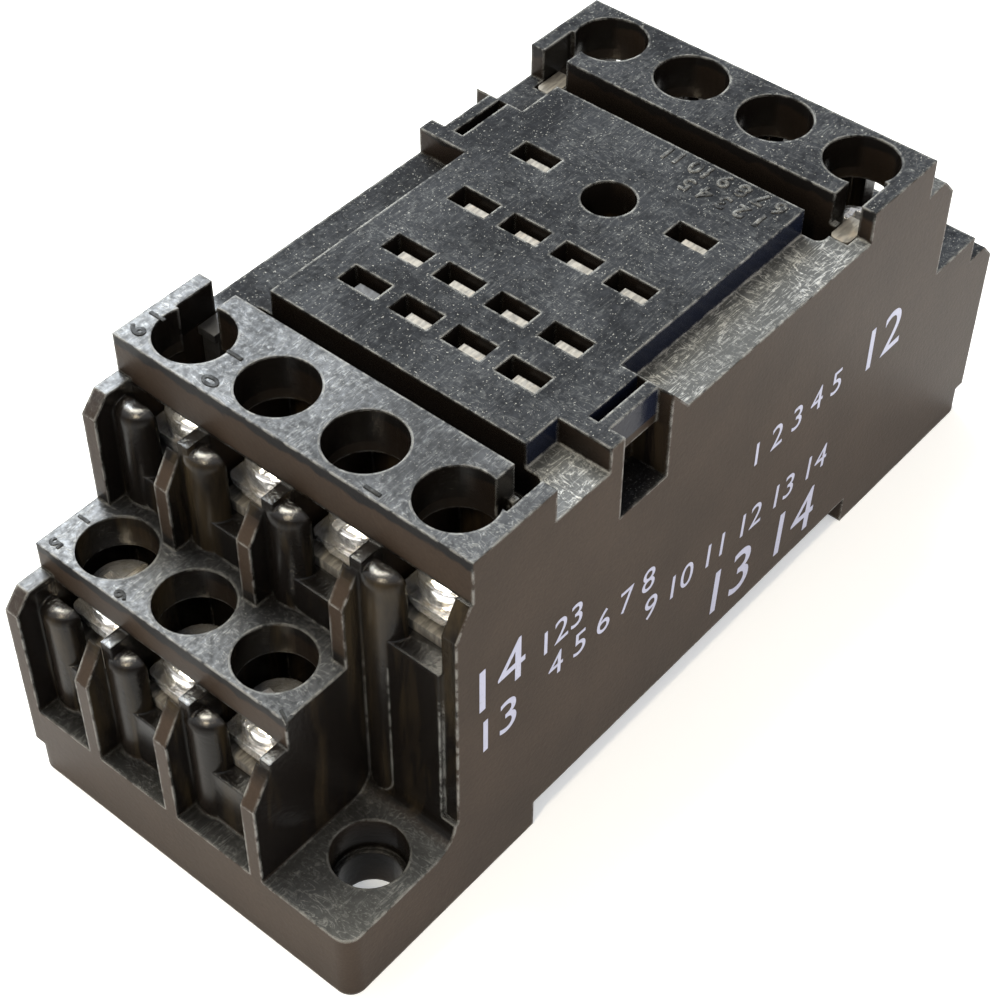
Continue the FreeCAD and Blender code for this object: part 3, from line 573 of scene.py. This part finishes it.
def dress(node_name, material):
    """Give a CAD node its material."""
    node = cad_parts[node_name]
    node.data.materials.clear()
    node.data.materials.append(material)


def finish_piece(piece, name, body, material, smooth=35):
    """Name a new piece, bake its place into its mesh, and hand it to its body."""
    piece.name = name
    piece.data.name = name
    piece.data.materials.clear()
    piece.data.materials.append(material)
    piece.data.transform(piece.matrix_world)
    piece.matrix_world = Matrix.Identity(4)
    if smooth:
        pick(piece)
        bpy.ops.object.shade_smooth_by_angle(angle=math.radians(smooth))
    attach(piece, body)
    clear_selection()


def apply_place(piece):
    """Bake a piece's place, turn and size into its mesh."""
    pick(piece)
    bpy.ops.object.transform_apply(location=True, rotation=True, scale=True)


def apply_modifiers(piece):
    """Apply all modifiers in order."""
    pick(piece)
    for modifier in list(piece.modifiers):
        bpy.ops.object.modifier_apply(modifier=modifier.name)


class SOCKET_OT_case(bpy.types.Operator):
    """Moulded plastic for the case, inner moulding, cover and rail latch"""
    bl_idname = "socket.case"
    bl_label = "Case plastic"

    def execute(self, context):
        settings = context.scene.socket_plastic
        case = MouldedPlastic("case_plastic", settings).material
        inner = MouldedPlastic("inner_plastic", settings, worn=0.3).material
        dress("housing", case)
        dress("contact_carrier", inner)
        dress("bottom_cover", inner)
        dress("rail_latch", case)
        return {"FINISHED"}


class SOCKET_OT_metal(bpy.types.Operator):
    """Tinned metal for the contacts and bright plating for the clamps"""
    bl_idname = "socket.metal"
    bl_label = "Contact metal"

    def execute(self, context):
        settings = context.scene.socket_metal
        tin = bright_metal("tinned_strip", settings.tin_color, 0.5, metallic=0.35, warm=(0.27, 0.22, 0.17),
                           streaks=0.7)
        # Painted shade: the strip in the shaded near hole gets a dark tin
        shaded_tin = bright_metal("shaded_strip", settings.shaded_tin_color, 0.45, metallic=0.3,
                                warm=(0.02, 0.02, 0.02))
        plating = bright_metal("clamp_plating", settings.plating_color, 0.12, metallic=0.85)
        for terminal in TERMINALS:
            dress("contact_" + terminal, shaded_tin if terminal in SHADED_STRIPS else tin)
            dress("clamp_" + terminal, plating)
        return {"FINISHED"}


def close_ends():
    """Fill the open ends of the active piece and turn its faces outwards."""
    bpy.ops.object.mode_set(mode="EDIT")
    bpy.ops.mesh.select_mode(type="VERT")
    bpy.ops.mesh.select_all(action="DESELECT")
    bpy.ops.mesh.select_non_manifold()
    bpy.ops.mesh.fill_holes(sides=0)
    bpy.ops.mesh.select_all(action="SELECT")
    bpy.ops.mesh.normals_make_consistent(inside=False)
    bpy.ops.object.mode_set(mode="OBJECT")


class SOCKET_OT_spring(bpy.types.Operator):
    """Coil spring of the rail latch"""
    bl_idname = "socket.spring"
    bl_label = "Latch spring"

    def execute(self, context):
        settings = context.scene.socket_metal
        low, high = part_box("latch_spring")
        middle = (low + high) / 2
        length = high.x - low.x
        wire = settings.spring_wire
        clear_selection()
        bpy.ops.mesh.primitive_circle_add(vertices=12, radius=wire, fill_type="NOTHING",
                                          location=((high.y - low.y) / 2 - wire, 0, 0),
                                          rotation=(math.radians(90), 0, 0))
        coil = bpy.context.object
        apply_place(coil)
        winding = coil.modifiers.new("winding", "SCREW")
        winding.steps = 24
        winding.render_steps = 24
        winding.screw_offset = (length - 2 * wire) / settings.spring_turns
        winding.iterations = settings.spring_turns
        apply_modifiers(coil)
        close_ends()
        coil.matrix_world = (Matrix.Translation((low.x + wire, middle.y, middle.z))
                             @ Matrix.Rotation(math.radians(90), 4, "Y"))
        material = bright_metal("spring_wire", settings.wire_color, 0.25)
        finish_piece(coil, "latch_coil", "case", material, smooth=60)
        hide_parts("latch_spring")
        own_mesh(coil)
        return {"FINISHED"}


def screw_head(radius, length):
    """Domed pan head on top of a screw, with a slot and a cross recess."""
    height = HEAD_HEIGHT * MM
    clear_selection()
    bpy.ops.mesh.primitive_cylinder_add(vertices=48, radius=radius, depth=height,
                                        location=(0, 0, length - height / 2))
    head = bpy.context.object
    bpy.ops.object.mode_set(mode="EDIT")
    bpy.ops.mesh.select_all(action="DESELECT")
    bpy.ops.object.mode_set(mode="OBJECT")
    for face in head.data.polygons:
        face.select = face.normal.z > 0.9
    bpy.ops.object.mode_set(mode="EDIT")
    bpy.ops.mesh.select_mode(type="FACE")
    bpy.ops.mesh.inset(thickness=radius * 0.3)
    bpy.ops.mesh.inset(thickness=radius * 0.4)
    bpy.ops.object.mode_set(mode="OBJECT")
    top = max(v.co.z for v in head.data.vertices)
    for vertex in head.data.vertices:
        if vertex.co.z > top - 1e-6:
            reach = math.hypot(vertex.co.x, vertex.co.y) / radius
            vertex.co.z -= HEAD_DOME * MM * reach ** 2
    rim = head.modifiers.new("rim", "BEVEL")
    rim.width = HEAD_ROUNDING * MM
    rim.segments = 4
    rim.limit_method = "ANGLE"
    rim.angle_limit = math.radians(50)
    apply_modifiers(head)
    cutters = []
    for across, along, deep in HEAD_CUTS:
        bpy.ops.mesh.primitive_cube_add(size=1, location=(0, 0, length))
        cutter = bpy.context.object
        cutter.scale = (across * MM, along * MM, 2 * deep * MM)
        apply_place(cutter)
        cut = head.modifiers.new("recess", "BOOLEAN")
        cut.operation = "DIFFERENCE"
        cut.solver = "EXACT"
        cut.object = cutter
        cutters.append(cutter)
    apply_modifiers(head)
    for cutter in cutters:
        bpy.data.objects.remove(cutter)
    return head


def screw_thread(root, pitch, turns):
    """Rolled thread of a screw, wound from the profile of one turn."""
    clear_selection()
    bpy.ops.mesh.primitive_circle_add(vertices=len(THREAD_PROFILE), fill_type="NOTHING")
    thread = bpy.context.object
    for vertex, (crest, share) in zip(thread.data.vertices, THREAD_PROFILE):
        vertex.co = (SHANK_RADIUS * MM if crest else root, 0, pitch * share)
    bpy.ops.object.mode_set(mode="EDIT")
    bpy.ops.mesh.select_mode(type="EDGE")
    bpy.ops.mesh.select_all(action="DESELECT")
    bpy.ops.object.mode_set(mode="OBJECT")
    ends = {0, len(THREAD_PROFILE) - 1}
    for edge in thread.data.edges:
        edge.select = set(edge.vertices) == ends
    bpy.ops.object.mode_set(mode="EDIT")
    bpy.ops.mesh.delete(type="EDGE_FACE")
    bpy.ops.object.mode_set(mode="OBJECT")
    winding = thread.modifiers.new("winding", "SCREW")
    winding.steps = 20
    winding.render_steps = 20
    winding.screw_offset = pitch
    winding.iterations = turns
    winding.use_merge_vertices = True
    winding.merge_threshold = 1e-6
    apply_modifiers(thread)
    thread.location = (0, 0, POINT_LENGTH * MM)
    apply_place(thread)
    return thread


def model_screw(settings):
    """One terminal screw: domed pan head with a cross recess and slot, rolled thread and dog point."""
    low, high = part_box("screw_" + TERMINALS[0])
    length = high.z - low.z
    head = screw_head((high.x - low.x) / 2, length)
    shank = length - HEAD_HEIGHT * MM
    root = SHANK_RADIUS * MM - settings.thread_depth
    turns = int((shank - 2 * POINT_LENGTH * MM) / settings.thread_pitch)
    thread = screw_thread(root, settings.thread_pitch, turns)
    clear_selection()
    bpy.ops.mesh.primitive_cylinder_add(vertices=20, radius=root + 0.01 * MM, depth=shank,
                                        location=(0, 0, shank / 2))
    core = bpy.context.object
    pick(head)
    thread.select_set(True)
    core.select_set(True)
    bpy.ops.object.join()
    apply_place(head)
    return head


class SOCKET_OT_screws(bpy.types.Operator):
    """Terminal screws with thread and cross recess, one for each terminal"""
    bl_idname = "socket.screws"
    bl_label = "Terminal screws"

    def execute(self, context):
        settings = context.scene.socket_metal
        plating = bright_metal("screw_plating", settings.plating_color, 0.12, metallic=0.85)
        pattern = model_screw(settings)
        chance = random.Random(7)
        for terminal in TERMINALS:
            low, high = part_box("screw_" + terminal)
            piece = pattern.copy()
            piece.data = pattern.data.copy()
            context.scene.collection.objects.link(piece)
            turn = Matrix.Rotation(chance.uniform(0, math.pi), 4, "Z")
            place = Matrix.Translation(((low.x + high.x) / 2, (low.y + high.y) / 2, low.z))
            piece.data.transform(turn)
            piece.matrix_world = place
            finish_piece(piece, "terminal_screw_" + terminal, "screw_" + terminal, plating)
            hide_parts("screw_" + terminal)
        bpy.data.objects.remove(pattern)
        return {"FINISHED"}


def figure(text, size, thickness, matrix, boldness=0.0):
    """Figures as a thin solid, centred, standing in the given place."""
    clear_selection()
    bpy.ops.object.text_add()
    piece = bpy.context.object
    piece.data.body = text
    piece.data.size = size
    piece.data.extrude = thickness / 2
    piece.data.align_x = "CENTER"
    piece.data.align_y = "CENTER"
    piece.data.resolution_u = 6
    piece.data.offset = boldness
    bpy.ops.object.convert(target="MESH")
    piece = bpy.context.object
    piece.data.transform(matrix)
    return piece


class SOCKET_OT_figures(bpy.types.Operator):
    """Moulded terminal numbers on the decks and plain numbers printed on the side"""
    bl_idname = "socket.figures"
    bl_label = "Figures"

    def execute(self, context):
        settings = context.scene.socket_print
        plastic = bpy.data.materials["case_plastic"]
        # Painted shade: the deck figures get a darker, duller plastic
        dark = MouldedPlastic("figure_shade_plastic", context.scene.socket_plastic, worn=0.2, tone=0.3).material
        ink = printed_ink("white_ink", settings.ink_color)
        raised = settings.raised_height
        for level, size, turn, group in DECK_FIGURES:
            for text, x, y in group:
                place = Matrix.Translation((x * MM, y * MM, level * MM + raised * FIGURE_MIDDLE))
                turned = place @ Matrix.Rotation(math.radians(turn), 4, "Z")
                piece = figure(text, size * MM, raised, turned, FIGURE_BOLDNESS * MM)
                name = "figure_%s_%d_%d" % (text.replace(" ", "_"), round(10 * abs(x)), round(10 * abs(y)))
                # Rows of figures stand in the seat, and the single ones on the decks are darker, as
                # painted shade on their relief
                material = plastic if " " in text else dark
                finish_piece(piece, name, "case", material, smooth=0)
        upright = Matrix.Rotation(math.radians(90), 4, "X")
        for text, x, z, size, tilt in SIDE_FIGURES:
            place = Matrix.Translation((x * MM, CAD_BOX[0][1] - INK_STANDOFF * MM, z * MM))
            turned = place @ upright @ Matrix.Rotation(math.radians(tilt), 4, "Z")
            piece = figure(text, size * MM, INK_THICKNESS * MM, turned)
            name = "side_print_%s_%d" % (text.replace(" ", "_"), round(10 * z))
            finish_piece(piece, name, "case", ink, smooth=0)
        return {"FINISHED"}


def soft_light(name, place, target, size, power, color):
    """A rectangular soft light aimed at a point."""
    data = bpy.data.lights.new(name, "AREA")
    data.shape = "RECTANGLE"
    data.size, data.size_y = size
    data.energy = power
    data.color = color
    light = bpy.data.objects.new(name, data)
    bpy.context.scene.collection.objects.link(light)
    light.location = place
    light.rotation_euler = (Vector(target) - Vector(place)).to_track_quat("-Z", "Y").to_euler()


class SOCKET_OT_stage(bpy.types.Operator):
    """Pale floor, soft studio lights and the camera"""
    bl_idname = "socket.stage"
    bl_label = "Stage"

    def execute(self, context):
        settings = context.scene.socket_stage
        clear_selection()
        bpy.ops.mesh.primitive_plane_add(size=FLOOR_WIDTH, location=(0, 0, FLOOR_LEVEL * MM))
        floor = bpy.context.object
        floor.name = "floor"
        floor.data.materials.append(floor_paper("floor_paper", settings))
        world = bpy.data.worlds.new("studio")
        world.use_nodes = True
        background = world.node_tree.nodes["Background"]
        background.inputs["Color"].default_value = (*WORLD_COLOR, 1.0)
        background.inputs["Strength"].default_value = WORLD_STRENGTH
        context.scene.world = world
        for light in LIGHTS:
            soft_light(*light)
        context.scene.view_settings.view_transform = "Standard"
        camera_data = bpy.data.cameras.new("camera")
        camera_data.lens = settings.lens
        camera_data.sensor_width = 36
        camera_data.clip_start = 0.01
        camera = bpy.data.objects.new("camera", camera_data)
        camera.location = CAMERA_PLACE
        camera.rotation_euler = [math.radians(a) for a in CAMERA_TURN]
        context.scene.collection.objects.link(camera)
        context.scene.camera = camera
        return {"FINISHED"}


OPERATORS = (SOCKET_OT_stage, SOCKET_OT_case, SOCKET_OT_metal, SOCKET_OT_spring, SOCKET_OT_screws,
             SOCKET_OT_figures)


class SOCKET_PT_panel(bpy.types.Panel):
    """Buttons that dress the relay socket"""
    bl_label = "Relay Socket"
    bl_idname = "SOCKET_PT_panel"
    bl_space_type = "VIEW_3D"
    bl_region_type = "UI"
    bl_category = "Relay Socket"

    def draw(self, context):
        for operator in OPERATORS:
            self.layout.operator(operator.bl_idname)


CLASSES = (SocketPlasticSettings, SocketMetalSettings, SocketPrintSettings, SocketStageSettings,
           *OPERATORS, SOCKET_PT_panel)


def register():
    for one in CLASSES:
        bpy.utils.register_class(one)
    scene = bpy.types.Scene
    scene.socket_plastic = bpy.props.PointerProperty(type=SocketPlasticSettings)
    scene.socket_metal = bpy.props.PointerProperty(type=SocketMetalSettings)
    scene.socket_print = bpy.props.PointerProperty(type=SocketPrintSettings)
    scene.socket_stage = bpy.props.PointerProperty(type=SocketStageSettings)


def unregister():
    for name in ("socket_plastic", "socket_metal", "socket_print", "socket_stage"):
        delattr(bpy.types.Scene, name)
    for one in reversed(CLASSES):
        bpy.utils.unregister_class(one)


def main():
    """Dress the socket."""
    register()
    bpy.ops.socket.stage()
    bpy.ops.socket.case()
    bpy.ops.socket.metal()
    bpy.ops.socket.spring()
    bpy.ops.socket.screws()
    bpy.ops.socket.figures()


if __name__ == "__main__":
    main()
